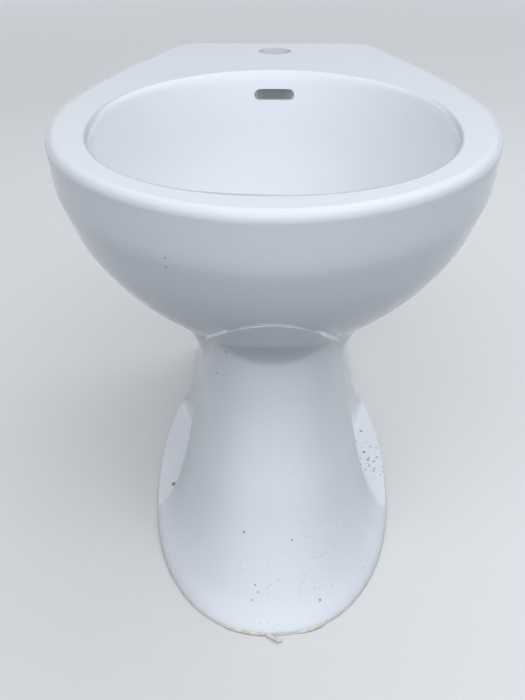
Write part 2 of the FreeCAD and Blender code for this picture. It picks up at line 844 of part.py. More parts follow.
def make_plug():
    stem_bore = "half:stem_diameter + running_clearance"
    rim_high = "boss_length + plug_edge"
    seal_bore = "half:boss_diameter + thread_clearance"
    cap = turned("plug_cap", boss_low, [
        (stem_bore, None),
        ("half:boss_diameter", None),
        ("half:boss_diameter", "boss_length"),
        ("half:plug_diameter", "boss_length"),
        ("half:plug_diameter", rim_high),
        (None, rim_high + " + plug_crown"),
        (None, "stem_depth"),
        (stem_bore, "stem_depth")], dome=4)
    seal = turned("plug_seal", plug_low + " - plug_seal_thickness", [
        (seal_bore, None),
        ("half:plug_seal_diameter - plug_seal_taper", None),
        ("half:plug_seal_diameter", "plug_seal_thickness"),
        (seal_bore, "plug_seal_thickness")])
    stem = rod("plug_stem", boss_low + " + stem_depth - plug_clearance - stem_length",
               "half:stem_diameter", "stem_length")
    spring_inner = "half:latch_top_diameter + spring_clearance"
    spring_low = grid_top + " + latch_collar"
    spring_length = "flange_thickness + plug_travel + grid_drop - boss_length - latch_collar"
    spring = sleeve("plug_spring", spring_low, spring_inner, spring_inner + " + spring_wire", spring_length)
    collar_low = "latch_length - latch_rise - latch_collar"
    latch = turned("latch_cartridge", grid_top + " + latch_collar + latch_rise - latch_length", [
        (stem_bore, None),
        ("half:latch_diameter", None),
        ("half:latch_diameter", collar_low),
        ("half:latch_collar_diameter", collar_low),
        ("half:latch_collar_diameter", "latch_length - latch_rise"),
        ("half:latch_top_diameter", "latch_length - latch_rise"),
        ("half:latch_top_diameter", "latch_length"),
        (stem_bore, "latch_length")])
    return [cap, seal, stem, spring, latch]


def ribbed_nut(label, base, thread, tube, outer, height, lying=False, lip_low=True):
    lip = "nut_lip"
    mouth = height + " - nut_lip"
    if lip_low:
        corners = [
            (tube, None), (outer, None), (outer, height), (thread, height), (thread, lip), (tube, lip)]
    else:
        corners = [
            (thread, None), (outer, None), (outer, height), (tube, height), (tube, mouth), (thread, mouth)]
    nut = turned(label, base, corners, lying)
    add_ribs(nut, outer, "rib_depth", height + " - rib_depth - rib_depth")
    return nut


def make_bottle():
    inner = "half:bottle_diameter - bottle_wall"
    tube = "half:tube_diameter + tube_clearance"
    neck_top = "bottle_height + bottle_neck_height"
    outside = turned("bottle_outside", bottle_low, [
        (None, None),
        ("half:bottle_diameter", None),
        ("half:bottle_diameter", "bottle_height - bottle_shoulder"),
        ("half:bottle_diameter - bottle_shoulder", "bottle_height"),
        ("half:bottle_neck_diameter", "bottle_height"),
        ("half:bottle_neck_diameter", neck_top),
        (None, neck_top)])
    roof = "overrun + bottle_height - bottle_wall"
    bore_top = "overrun + overrun + " + neck_top
    inside = turned("bottle_inside", bottle_low + " - overrun", [
        (None, None),
        (inner, None),
        (inner, roof + " - bottle_shoulder"),
        (inner + " - bottle_shoulder", roof),
        (tube, roof),
        (tube, bore_top),
        (None, bore_top)])
    stub_end = "half:bottle_diameter + outlet_stub_length"
    stub = rod("outlet_stub", None, "half:outlet_stub_diameter", stub_end, lying=True)
    bore = rod("outlet_bore", None, tube, stub_end + " + overrun", lying=True)
    return cut(
        "trap_body", fuse("bottle_solid", outside, stub), fuse("bottle_space", inside, bore))


def make_trap():
    tube_radius = "half:tube_diameter"
    tube_bore = tube_radius + " - tube_wall"
    tube = tube_radius + " + tube_clearance"
    grip = tube_radius + " + running_clearance"
    union = "half:tail_diameter - thread_clearance"
    flange_low = waste_low + " - inlet_seal_thickness - tube_flange"
    drop = "bottle_drop + dip_depth - inlet_seal_thickness - tube_flange"
    inlet_seal = sleeve("trap_inlet_seal", waste_low + " - inlet_seal_thickness",
                        "half:tail_bore", union, "inlet_seal_thickness")
    inlet_tube = turned("trap_inlet_tube", bottle_low + " - dip_depth", [
        (tube_bore, None),
        (tube_radius, None),
        (tube_radius, drop),
        (union, drop),
        (union, drop + " + tube_flange"),
        (tube_bore, drop + " + tube_flange")])
    inlet_nut = ribbed_nut("trap_inlet_nut", flange_low + " - nut_lip",
                           "half:tail_diameter + thread_clearance", tube,
                           "half:inlet_nut_diameter", "inlet_nut_height")

    neck_top = bottle_low + " + bottle_height + bottle_neck_height"
    slip_seal = sleeve("trap_slip_seal", neck_top, grip,
                       "half:bottle_neck_diameter - thread_clearance", "slip_seal_thickness")
    slip_nut = ribbed_nut("trap_slip_nut", neck_top + " + slip_seal_thickness + nut_lip - slip_nut_height",
                          "half:bottle_neck_diameter + thread_clearance", tube,
                          "half:slip_nut_diameter", "slip_nut_height", lip_low=False)

    cup_seat = "cup_depth - cup_seal_thickness"
    cup_inner = "half:bottle_diameter - bottle_wall"
    cup_lap = "half:bottle_diameter + thread_clearance"
    cup_top = "cup_depth + cup_lap"
    cup = turned("trap_cup", bottle_low + " - cup_depth", [
        (None, None),
        ("half:cup_diameter - nut_chamfer", None),
        ("half:cup_diameter", "nut_chamfer"),
        ("half:cup_diameter", cup_top),
        (cup_lap, cup_top),
        (cup_lap, cup_seat),
        (cup_inner, cup_seat),
        (cup_inner, "cup_floor"),
        (None, "cup_floor")])
    rib_height = cup_top + " - nut_chamfer - rib_depth - rib_depth"
    add_ribs(cup, "half:cup_diameter", "nut_chamfer + rib_depth", rib_height)
    cup_seal = sleeve("trap_cup_seal", bottle_low + " - cup_seal_thickness", cup_inner,
                      "half:bottle_diameter - thread_clearance", "cup_seal_thickness")

    stub_end = "half:bottle_diameter + outlet_stub_length"
    outlet_seal = sleeve("trap_outlet_seal", stub_end, grip,
                         "half:outlet_stub_diameter - thread_clearance", "outlet_seal_thickness", lying=True)
    outlet_nut = ribbed_nut(
        "trap_outlet_nut", stub_end + " + outlet_seal_thickness + nut_lip - outlet_nut_length",
        "half:outlet_stub_diameter + thread_clearance", tube,
        "half:outlet_nut_diameter", "outlet_nut_length", lying=True, lip_low=False)
    pipe_start = stub_end + " - pipe_insertion"
    pipe_length = ("overall_length - waste_setback - pipe_back_inset + pipe_insertion"
                   " - half:bottle_diameter - outlet_stub_length")
    bead_high = pipe_length + " - pipe_spigot"
    bead_low = bead_high + " - bead_width"
    bead = tube_radius + " + bead_depth"
    pipe = turned("outlet_pipe", pipe_start, [
        (tube_bore, None),
        (tube_radius, None),
        (tube_radius, bead_low),
        (bead, bead_low),
        (bead, bead_high),
        (tube_radius, bead_high),
        (tube_radius, pipe_length),
        (tube_bore, pipe_length)], lying=True)
    return [inlet_nut, inlet_seal, inlet_tube, slip_nut, slip_seal, make_bottle(), cup, cup_seal,
            outlet_nut, outlet_seal, pipe]


pieces = [make_bowl(), make_pedestal()] + make_waste() + make_plug() + make_trap()
doc.recompute()

for item in doc.Objects:
    if "Invalid" in item.State or "Error" in item.State:
        raise RuntimeError("%s failed: %s" % (item.Label, item.State))
os.makedirs("parts", exist_ok=True)
for piece in pieces:
    shape = piece.Shape
    if shape.isNull() or not shape.isValid():
        raise RuntimeError("%s has no valid shape" % piece.Label)
    print(piece.Label, len(shape.Solids), "solid", round(shape.Volume, 1), "mm3")
    shape.exportStep("parts/%s.step" % piece.Label)
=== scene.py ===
import bpy
import bmesh
import json
import math
import numpy
from mathutils import Matrix, Vector, noise as drift
from mathutils.bvhtree import BVHTree


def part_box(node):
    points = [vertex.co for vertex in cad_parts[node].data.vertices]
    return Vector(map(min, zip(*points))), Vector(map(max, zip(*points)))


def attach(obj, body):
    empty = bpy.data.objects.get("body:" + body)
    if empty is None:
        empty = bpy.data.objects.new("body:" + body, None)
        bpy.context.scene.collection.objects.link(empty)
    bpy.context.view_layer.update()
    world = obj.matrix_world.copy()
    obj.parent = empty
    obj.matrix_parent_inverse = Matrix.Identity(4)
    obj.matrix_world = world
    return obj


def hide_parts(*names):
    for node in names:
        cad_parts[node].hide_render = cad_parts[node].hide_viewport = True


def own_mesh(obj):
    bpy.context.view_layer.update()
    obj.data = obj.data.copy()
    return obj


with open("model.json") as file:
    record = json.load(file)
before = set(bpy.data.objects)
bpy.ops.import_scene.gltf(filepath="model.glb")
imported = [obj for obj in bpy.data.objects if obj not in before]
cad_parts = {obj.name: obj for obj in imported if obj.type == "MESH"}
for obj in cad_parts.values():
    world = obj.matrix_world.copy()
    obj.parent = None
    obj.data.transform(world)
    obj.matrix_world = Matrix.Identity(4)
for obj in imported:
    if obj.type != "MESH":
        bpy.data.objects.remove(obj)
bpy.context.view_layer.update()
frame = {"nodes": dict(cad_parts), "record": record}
nodes = frame["nodes"]
scene = bpy.context.scene
print("frame loaded:", len(nodes), "nodes")


# small helpers for node trees

def addNode(tree, kind, sockets=None, **settings):
    made = tree.nodes.new(kind)
    for name, value in settings.items():
        setattr(made, name, value)
    for name, value in (sockets or {}).items():
        made.inputs[name].default_value = value
    return made


def blankMaterial(name, roughness, metallic=0.0):
    material = bpy.data.materials.new(name)
    material.use_nodes = True
    shader = material.node_tree.nodes["Principled BSDF"]
    shader.inputs["Roughness"].default_value = roughness
    shader.inputs["Metallic"].default_value = metallic
    return material, material.node_tree, shader


def objectCoords(tree):
    return addNode(tree, "ShaderNodeTexCoord").outputs["Object"]


def splitCoords(tree, coords):
    made = addNode(tree, "ShaderNodeSeparateXYZ")
    tree.links.new(coords, made.inputs["Vector"])
    return made


def noise(tree, coords, scale, detail=2.0, rough=0.5):
    made = addNode(tree, "ShaderNodeTexNoise", {
        "Scale": scale, "Detail": detail, "Roughness": rough})
    tree.links.new(coords, made.inputs["Vector"])
    return made.outputs["Fac"]


def remap(tree, value, fromLow, fromHigh, toLow=0.0, toHigh=1.0):
    made = addNode(tree, "ShaderNodeMapRange", {
        "From Min": fromLow, "From Max": fromHigh, "To Min": toLow, "To Max": toHigh})
    made.clamp = True
    tree.links.new(value, made.inputs["Value"])
    return made.outputs["Result"]


def falling(tree, value, fromLow, fromHigh):
    return remap(tree, value, fromLow, fromHigh, 1.0, 0.0)


def combine(tree, first, second, operation="MULTIPLY"):
    made = addNode(tree, "ShaderNodeMath", operation=operation)
    tree.links.new(first, made.inputs[0])
    tree.links.new(second, made.inputs[1])
    return made.outputs["Value"]


def withConstant(tree, value, operation, constant=0.0):
    made = addNode(tree, "ShaderNodeMath", operation=operation)
    tree.links.new(value, made.inputs[0])
    made.inputs[1].default_value = constant
    return made.outputs["Value"]


def overlapOf(tree, *masks):
    # 1 only where all the masks are 1
    result = masks[0]
    for mask in masks[1:]:
        result = combine(tree, result, mask)
    return result


def blendColor(tree, factor, low, high):
    made = addNode(tree, "ShaderNodeMix", data_type="RGBA")
    tree.links.new(factor, made.inputs["Factor"])
    for name, value in (("A", low), ("B", high)):
        socket = [s for s in made.inputs if s.name == name and s.type == "RGBA"][0]
        if isinstance(value, tuple):
            socket.default_value = value
        else:
            tree.links.new(value, socket)
    return [s for s in made.outputs if s.type == "RGBA"][0]


def tinted(tree, color, mask, share, tint):
    return blendColor(tree, withConstant(tree, mask, "MULTIPLY", share), color, tint)


def addBump(tree, shader, height, strength, distance):
    made = addNode(tree, "ShaderNodeBump", {"Strength": strength, "Distance": distance})
    tree.links.new(height, made.inputs["Height"])
    tree.links.new(made.outputs["Normal"], shader.inputs["Normal"])


# glaze of the bowl and the pedestal
glazeLook = {
    "clean": (0.852, 0.862, 0.880, 1.0),
    "shaded": (0.830, 0.842, 0.862, 1.0),
    "cloudScale": 5.0,
    "cloudRange": (0.35, 0.65),
    "roughRange": (0.3, 0.7, 0.07, 0.13),
    "rippleScale": 34.0,
    "ripple": (0.03, 0.002),
    "dirt": (0.13, 0.115, 0.10, 1.0),
    "dirtShare": 0.8,
    "markCore": 0.45,                       # share of a mark's radius before it fades
    "speckScale": 560.0,
    "speckRange": (0.70, 0.76),
    "patchScale": 13.0,
    "patchRange": (0.46, 0.62),
    "dirtHeight": (0.0, 0.20, 0.8, 0.0),
    "ledgeDirt": (0.100, 0.012, 0.009, 0.046),   # dirt settled on the right ledge
    "ledgeSpeckScale": 230.0,
    "ledgeSpeckRange": (0.60, 0.68),
    "edgeReflectionPaint": (0.40, 0.41, 0.44, 1.0),    # painted dark reflection along the inner edge of the rim
    "edgeCentreY": -0.0625,
    "edgeHalf": (0.150, 0.1875),
    "edgePower": 2.2,
    "edgeRise": (1.004, 1.026),
    "edgeFall": (1.060, 1.084),
    "edgeLow": (0.383, 0.385),
    "edgeFade": (-0.10, 0.05),
    "edgeReflectionShare": 0.65,
    "slotPaintedShade": (0.42, 0.42, 0.41, 1.0),   # painted shade inside the overflow
    "slotSpot": (0.0, 0.136, 0.3685, 0.0235),
    "slotFront": (0.1285, 0.1315),
    "slotTop": (0.3755, 0.3775),
    "basinDarkening": (0.70, 0.705, 0.715, 1.0),      # darker tone low in the basin
    "basinDarkeningSpot": (0.0, 0.030, 0.300, 0.165),
    "basinDarkeningShare": 0.60,
    "creasePaintedShade": (0.30, 0.31, 0.33, 1.0),      # painted shade in the hollow under the lip
    "creaseCurve": 5.8,
    "creaseLow": (0.2200, 0.2262),
    "creaseHigh": (0.2365, 0.2470),
    "creaseBow": -8.9,
    "creaseFront": (-0.178, -0.170),
    "creaseSide": (0.046, 0.060),
    "creaseShadeShare": 0.32,
    "corner": (0.50, 0.52, 0.55, 1.0),      # painted shade on the corners in front of the side recesses
    "cornerSide": (0.044, 0.056),
    "cornerRise": (-0.128, -0.094),
    "cornerEnd": (-0.0805, -0.0795),
    "cornerLow": (0.020, 0.050),
    "cornerShare": 0.26,
    "paintedLedgeLight": (0.930, 0.935, 0.945, 1.0),    # painted light on the flat ledges
    "ledgeSide": (0.062, 0.068),
    "ledgeFront": (-0.0795, -0.0785),
    "ledgeBack": (0.120, 0.135),
    "ledgeTop": (0.0105, 0.0130),
    "footTint": (0.60, 0.55, 0.42, 1.0),
    "footFade": (0.0012, 0.0032, 0.6, 0.0),
    "stain": (0.30, 0.28, 0.15, 1.0),
    "stainSpot": (-0.0995, -0.0387, 0.0090, 0.0042),
    "bowlSpots": ((-0.0738, -0.2584, 0.3459, 0.0011), (-0.0738, -0.2551, 0.3378, 0.0012)),
    "pedestalSpots": (
        (-0.0377, -0.1680, 0.2271, 0.0013), (-0.0465, -0.1512, 0.1986, 0.0012),
        (-0.0232, -0.2014, 0.0712, 0.0013), (0.0179, -0.2055, 0.0663, 0.0011),
        (0.0424, -0.2235, 0.0165, 0.0014), (-0.0135, -0.2236, 0.0323, 0.0010),
        (-0.0109, -0.2270, 0.0275, 0.0010), (-0.0160, -0.2301, 0.0214, 0.0009),
        (0.0558, -0.1302, 0.1702, 0.0010), (0.0984, 0.0245, 0.0090, 0.0022),
        (0.1015, 0.0088, 0.0090, 0.0020), (0.0982, 0.0676, 0.0090, 0.0022)),
}


def near(tree, coords, spot):
    # 1 inside a round mark, fading out at its edge
    gap = addNode(tree, "ShaderNodeVectorMath", operation="DISTANCE")
    tree.links.new(coords, gap.inputs[0])
    gap.inputs[1].default_value = spot[:3]
    return falling(tree, gap.outputs["Value"], spot[3] * glazeLook["markCore"], spot[3])


def edgeReflectionBand(tree, split, look):
    # painted dark reflection: a thin band just outside the oval of the basin, on the rim's inner edge
    # how far a point lies outside the oval of the basin, 1 on the oval itself
    across = withConstant(tree, split.outputs["X"], "DIVIDE", look["edgeHalf"][0])
    along = withConstant(tree, split.outputs["Y"], "SUBTRACT", look["edgeCentreY"])
    along = withConstant(tree, along, "DIVIDE", look["edgeHalf"][1])
    powers = []
    for part in (across, along):
        size = withConstant(tree, part, "ABSOLUTE")
        powers.append(withConstant(tree, size, "POWER", look["edgePower"]))
    oval = combine(tree, *powers, "ADD")
    return overlapOf(
        tree,
        remap(tree, oval, *look["edgeRise"]),
        falling(tree, oval, *look["edgeFall"]),
        remap(tree, split.outputs["Z"], *look["edgeLow"]),
        falling(tree, split.outputs["Y"], *look["edgeFade"]))


def creaseShadeBand(tree, split, look):
    # painted shade: 1 in the hollow where the neck meets the lip, which rises and bends back to both
    # sides
    square = combine(tree, split.outputs["X"], split.outputs["X"])
    rise = withConstant(tree, square, "MULTIPLY", look["creaseCurve"])
    level = combine(tree, split.outputs["Z"], rise, "SUBTRACT")
    bow = withConstant(tree, square, "MULTIPLY", look["creaseBow"])
    depth = combine(tree, split.outputs["Y"], bow, "ADD")
    side = withConstant(tree, split.outputs["X"], "ABSOLUTE")
    return overlapOf(
        tree,
        remap(tree, level, *look["creaseLow"]),
        falling(tree, split.outputs["Z"], *look["creaseHigh"]),
        falling(tree, depth, *look["creaseFront"]),
        falling(tree, side, *look["creaseSide"]))


def spotted(tree, coords, spots, dirt=None):
    for spot in spots:
        mark = near(tree, coords, spot)
        dirt = mark if dirt is None else combine(tree, dirt, mark, "MAXIMUM")
    return dirt


def bowlMarks(tree, coords, split, color, look):
    basinDarkening = near(tree, coords, look["basinDarkeningSpot"])
    color = tinted(tree, color, basinDarkening, look["basinDarkeningShare"], look["basinDarkening"])
    dirt = spotted(tree, coords, look["bowlSpots"])
    color = tinted(tree, color, dirt, look["dirtShare"], look["dirt"])
    # painted dark reflection along the inner edge of the rim
    color = tinted(tree, color, edgeReflectionBand(tree, split, look), look["edgeReflectionShare"], look["edgeReflectionPaint"])
    # painted shade inside the overflow slot
    inside = overlapOf(
        tree,
        near(tree, coords, look["slotSpot"]),
        remap(tree, split.outputs["Y"], *look["slotFront"]),
        falling(tree, split.outputs["Z"], *look["slotTop"]))
    return blendColor(tree, inside, color, look["slotPaintedShade"])


def recessPaintedShadeAndLight(tree, split, color, look):
    side = withConstant(tree, split.outputs["X"], "ABSOLUTE")
    # painted shade on the column's edges in front of the side recesses
    corner = overlapOf(
        tree,
        remap(tree, side, *look["cornerSide"]),
        remap(tree, split.outputs["Y"], *look["cornerRise"]),
        falling(tree, split.outputs["Y"], *look["cornerEnd"]),
        remap(tree, split.outputs["Z"], *look["cornerLow"]))
    color = tinted(tree, color, corner, look["cornerShare"], look["corner"])
    # painted light on the flat ledges inside the side recesses
    ledgeLightMask = overlapOf(
        tree,
        remap(tree, side, *look["ledgeSide"]),
        remap(tree, split.outputs["Y"], *look["ledgeFront"]),
        falling(tree, split.outputs["Y"], *look["ledgeBack"]),
        falling(tree, split.outputs["Z"], *look["ledgeTop"]))
    return blendColor(tree, ledgeLightMask, color, look["paintedLedgeLight"])


def pedestalMarks(tree, coords, split, color, look):
    # painted shade and painted light around the side recesses
    color = recessPaintedShadeAndLight(tree, split, color, look)
    # painted shade in the hollow where the neck meets the lip
    creaseShadeMask = creaseShadeBand(tree, split, look)
    color = tinted(tree, color, creaseShadeMask, look["creaseShadeShare"], look["creasePaintedShade"])
    dirt = overlapOf(
        tree,
        remap(tree, noise(tree, coords, look["speckScale"], 1.0), *look["speckRange"]),
        remap(tree, noise(tree, coords, look["patchScale"], 2.0), *look["patchRange"]),
        remap(tree, split.outputs["Z"], *look["dirtHeight"]))
    grains = noise(tree, coords, look["ledgeSpeckScale"], 2.0)
    settled = overlapOf(
        tree,
        near(tree, coords, look["ledgeDirt"]),
        remap(tree, grains, *look["ledgeSpeckRange"]))
    dirt = combine(tree, dirt, settled, "MAXIMUM")
    dirt = spotted(tree, coords, look["pedestalSpots"], dirt)
    color = tinted(tree, color, dirt, look["dirtShare"], look["dirt"])
    color = blendColor(tree, near(tree, coords, look["stainSpot"]), color, look["stain"])
    foot = remap(tree, split.outputs["Z"], *look["footFade"])
    return blendColor(tree, foot, color, look["footTint"])


def makeGlaze(name, marks):
    look = glazeLook
    material, tree, shader = blankMaterial(name, look["roughRange"][2])
    coords = objectCoords(tree)
    split = splitCoords(tree, coords)
    cloud = noise(tree, coords, look["cloudScale"], 3.0)
    cloudy = remap(tree, cloud, *look["cloudRange"])
    color = blendColor(tree, cloudy, look["clean"], look["shaded"])
    tree.links.new(marks(tree, coords, split, color, look), shader.inputs["Base Color"])
    tree.links.new(remap(tree, cloud, *look["roughRange"]), shader.inputs["Roughness"])
    addBump(tree, shader, noise(tree, coords, look["rippleScale"], 2.0), *look["ripple"])
    return material


# chrome, brass, steel, rubber and plastics of the hidden fittings
fittingLooks = {
    "chrome": {
        "low": (0.74, 0.75, 0.77, 1), "high": (0.80, 0.81, 0.82, 1),
        "rough": (0.06, 0.14), "metal": 1.0, "scale": 60.0, "bump": 0.02},
    "brass": {
        "low": (0.66, 0.48, 0.22, 1), "high": (0.76, 0.60, 0.31, 1),
        "rough": (0.22, 0.36), "metal": 1.0, "scale": 90.0, "bump": 0.05},
    "spring_steel": {
        "low": (0.50, 0.51, 0.53, 1), "high": (0.60, 0.61, 0.63, 1),
        "rough": (0.25, 0.38), "metal": 1.0, "scale": 220.0, "bump": 0.03},
    "rubber": {
        "low": (0.030, 0.030, 0.033, 1), "high": (0.055, 0.055, 0.058, 1),
        "rough": (0.55, 0.75), "metal": 0.0, "scale": 140.0, "bump": 0.10},
    "washer_plastic": {
        "low": (0.66, 0.66, 0.63, 1), "high": (0.74, 0.74, 0.71, 1),
        "rough": (0.42, 0.55), "metal": 0.0, "scale": 120.0, "bump": 0.06},
    "trap_plastic": {
        "low": (0.76, 0.76, 0.745, 1), "high": (0.83, 0.83, 0.81, 1),
        "rough": (0.24, 0.36), "metal": 0.0, "scale": 70.0, "bump": 0.04},
}
fittingGrain = {"range": (0.3, 0.7), "detail": 4.0, "rough": 0.6, "finer": 6, "depth": 0.0006}


def makeFitting(name):
    look = fittingLooks[name]
    grain = fittingGrain
    material, tree, shader = blankMaterial(name, look["rough"][0], look["metal"])
    coords = objectCoords(tree)
    mottle = noise(tree, coords, look["scale"], grain["detail"], grain["rough"])
    mix = remap(tree, mottle, *grain["range"])
    tree.links.new(blendColor(tree, mix, look["low"], look["high"]), shader.inputs["Base Color"])
    tree.links.new(remap(tree, mottle, *grain["range"], *look["rough"]), shader.inputs["Roughness"])
    fine = noise(tree, coords, look["scale"] * grain["finer"], 2.0)
    addBump(tree, shader, fine, look["bump"], grain["depth"])
    return material


bowlGlaze = makeGlaze("bowlGlaze", bowlMarks)
finishes = {"china": makeGlaze("pedestalGlaze", pedestalMarks)}
for finishName in fittingLooks:
    finishes[finishName] = makeFitting(finishName)
slotOf = {row["node"]: row["material_slot"] for row in frame["record"]["subparts"]}
for nodeName, cadNode in nodes.items():
    cadNode.data.materials.clear()
    cadNode.data.materials.append(bowlGlaze if nodeName == "bowl" else finishes[slotOf[nodeName]])
print("finishes set on", len(nodes), "nodes")


# helpers for the scene's own pieces

def addPiece(name, bm, finish):
    mesh = bpy.data.meshes.new(name)
    bm.to_mesh(mesh)
    bm.free()
    for face in mesh.polygons:
        face.use_smooth = True
    piece = bpy.data.objects.new(name, mesh)
    scene.collection.objects.link(piece)
    mesh.materials.append(finish)
    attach(piece, "fixed")
    print(name + ":", len(mesh.polygons), "faces")
    return piece


def chinaTree(nodeName):
    mesh = nodes[nodeName].data
    return BVHTree.FromPolygons(
        [v.co for v in mesh.vertices], [tuple(face.vertices) for face in mesh.polygons])


bowlTree = chinaTree("bowl")
pedestalTree = chinaTree("pedestal")


def outerReach(trees, origin, outward, height):
    # way from the axis to the outermost china at this height
    far = 0.35
    start = Vector((origin[0], origin[1], height)) + outward * far
    reach = 0.0
    for tree in trees:
        place, normal, index, gap = tree.ray_cast(start, -outward, far)
        if place is not None:
            reach = max(reach, far - gap)
    return reach


def shapedTube(bm, rings):
    # a grid wrapped into a tube, one column of it on each ring of points
    along = len(rings)
    around = len(rings[0]) + 1
    made = bmesh.ops.create_grid(bm, x_segments=along - 1, y_segments=around - 1, size=1.0)
    for vert in made["verts"]:
        i = round((vert.co.x + 1) / 2 * (along - 1))
        j = round((vert.co.y + 1) / 2 * (around - 1))
        vert.co = rings[i][j % (around - 1)]
    bmesh.ops.remove_doubles(bm, verts=bm.verts, dist=1e-7)
    bmesh.ops.holes_fill(bm, edges=[edge for edge in bm.edges if edge.is_boundary], sides=0)
    bmesh.ops.recalc_face_normals(bm, faces=bm.faces)


def clamped(share):
    return min(max(share, 0.0), 1.0)


def eased(share):
    # a soft start and end between 0 and 1
    share = clamped(share)
    return share * share * (3 - 2 * share)


def ovalRing(centre, across, width, upward, height, sides):
    ring = []
    for step in range(sides):
        angle = 2 * math.pi * step / sides
        ring.append(centre + across * (math.cos(angle) * width) + upward * (math.sin(angle) * height))
    return ring


# coil that lifts the plug
coilSettings = {
    "turns": 6.5, "wireRadius": 0.0007, "sides": 8, "stepsPerTurn": 28,
    "sortAlong": (0.3717, 0.5331, 0.7601)}   # spin leaves its parts in no fixed order


def makeCoil():
    low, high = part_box("plug_spring")
    wire = coilSettings["wireRadius"]
    centre = (low + high) / 2
    coilRadius = (high.x - low.x) / 2 - wire
    rise = high.z - low.z - 2 * wire
    turns = coilSettings["turns"]
    steps = int(turns * coilSettings["stepsPerTurn"])
    bm = bmesh.new()
    circle = bmesh.ops.create_circle(bm, segments=coilSettings["sides"], radius=wire)
    upright = Matrix.Rotation(math.radians(90), 4, "X")
    place = Matrix.Translation((centre.x + coilRadius, centre.y, low.z + wire))
    bmesh.ops.transform(bm, matrix=place @ upright, verts=circle["verts"])
    bmesh.ops.spin(
        bm, geom=list(bm.verts) + list(bm.edges), cent=centre, axis=(0, 0, 1),
        dvec=(0, 0, rise / steps), angle=turns * 2 * math.pi, steps=steps)
    loose = [edge for edge in bm.edges if edge.is_boundary]
    bmesh.ops.holes_fill(bm, edges=loose, sides=coilSettings["sides"])
    bmesh.ops.recalc_face_normals(bm, faces=bm.faces)
    sortAlong = Vector(coilSettings["sortAlong"])
    bm.verts.sort(key=lambda vert: vert.co.dot(sortAlong))
    bm.faces.sort(key=lambda face: face.calc_center_median().dot(sortAlong))
    coil = addPiece("plugCoil", bm, finishes["spring_steel"])
    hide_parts("plug_spring")
    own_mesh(coil)


makeCoil()


# soft fillets where the sides of the neck run into the underside of the bowl
coveSettings = {
    "axisY": -0.090,
    "endY": -0.0806,           # front edges of the side recesses
    "frontTurn": 36.0,         # the fillet dies out towards the front
    "fullTurn": 62.0,
    "frontRadius": 0.004,
    "sideRadius": 0.060,
    "lowest": 0.110,
    "highest": 0.320,
    "joint": (0.205, 0.240),   # heights between which the two castings meet
    "step": 0.0004,
    "fanSections": 37,
    "sideSections": 4,
    "arcPoints": 18,
    "contact": 0.00006,
    "overlap": 0.0012,
    "sink": 0.00022,
    "depth": 0.0012,
}


def rollBall(reach, radius, step):
    # the profile that a ball of this radius leaves in the hollow
    count = int(radius / step)
    lifts = [
        (k, math.sqrt(max(radius ** 2 - (k * step) ** 2, 0.0))) for k in range(-count, count + 1)]
    size = len(reach)
    wide = numpy.pad(reach, count, mode="edge")
    grown = numpy.max([wide[count + k:count + k + size] + lift for k, lift in lifts], axis=0)
    wide = numpy.pad(grown, count, mode="edge")
    return numpy.min([wide[count + k:count + k + size] - lift for k, lift in lifts], axis=0)


def coveProfile(origin, outward, radius):
    look = coveSettings
    heights = numpy.arange(look["lowest"], look["highest"], look["step"])
    trees = (bowlTree, pedestalTree)
    reach = numpy.array([outerReach(trees, origin, outward, z) for z in heights])
    rolled = rollBall(reach, radius, look["step"])
    gain = rolled - reach
    meets = (heights > look["joint"][0]) & (heights < look["joint"][1])
    peak = int(numpy.argmax(numpy.where(meets, gain, 0.0)))
    first = last = peak
    while gain[first] > look["contact"]:
        first -= 1
    while gain[last] > look["contact"]:
        last += 1
    return heights, reach, rolled, heights[first], heights[last], peak


def evened(values, rounds=3):
    # takes small jumps out of a row of numbers, the ends stay
    row = numpy.array(values)
    for k in range(rounds):
        row[1:-1] = (row[:-2] + 2 * row[1:-1] + row[2:]) / 4
    return row


def coveRing(origin, outward, profile, low, high):
    look = coveSettings
    heights, reach, rolled, first, last, peak = profile
    inside = (heights > low) & (heights < high)
    rise = numpy.concatenate(([low], heights[inside], [high]))
    arc = numpy.interp(rise, heights, rolled)
    way = numpy.concatenate(([0.0], numpy.cumsum(numpy.hypot(numpy.diff(arc), numpy.diff(rise)))))
    stops = numpy.linspace(0.0, way[-1], look["arcPoints"])
    ups = [low - look["overlap"]] + list(numpy.interp(stops, way, rise)) + [high + look["overlap"]]
    outs = list(numpy.interp(ups, heights, rolled))
    outs[0] -= look["sink"]      # both edges dip just under the china
    outs[-1] -= look["sink"]
    ups.append(heights[peak] + look["depth"])
    outs.append(reach[peak] - look["depth"])
    base = Vector((origin[0], origin[1], 0.0))
    return [base + outward * float(out) + Vector((0, 0, float(up))) for out, up in zip(outs, ups)]


def makeCove(name, side):
    look = coveSettings
    stations = []
    for y in numpy.linspace(look["endY"], look["axisY"], look["sideSections"] + 1)[:-1]:
        stations.append(((0.0, float(y)), 90.0))
    for turn in numpy.linspace(90.0, look["frontTurn"], look["fanSections"]):
        stations.append(((0.0, look["axisY"]), float(turn)))
    rows = []
    for origin, turn in stations:
        angle = math.radians(turn)
        outward = Vector((side * math.sin(angle), -math.cos(angle), 0.0))
        share = eased((turn - look["frontTurn"]) / (look["fullTurn"] - look["frontTurn"]))
        radius = look["frontRadius"] + share * (look["sideRadius"] - look["frontRadius"])
        rows.append((origin, outward, coveProfile(origin, outward, radius)))
    lows = evened([profile[3] for origin, outward, profile in rows])
    highs = evened([profile[4] for origin, outward, profile in rows])
    rings = [
        coveRing(origin, outward, profile, float(low), float(high))
        for (origin, outward, profile), low, high in zip(rows, lows, highs)]
    bm = bmesh.new()
    shapedTube(bm, rings)
    corners = [
        vert for vert in bm.verts if any((vert.co - ring[-1]).length < 1e-6 for ring in rings)]
    for face in bm.faces:
        # the hidden back and the end caps keep their sharp edges
        if len(face.verts) > 4 or any(vert in corners for vert in face.verts):
            for edge in face.edges:
                edge.smooth = False
    addPiece(name, bm, finishes["china"])


makeCove("leftCove", -1)
makeCove("rightCove", 1)


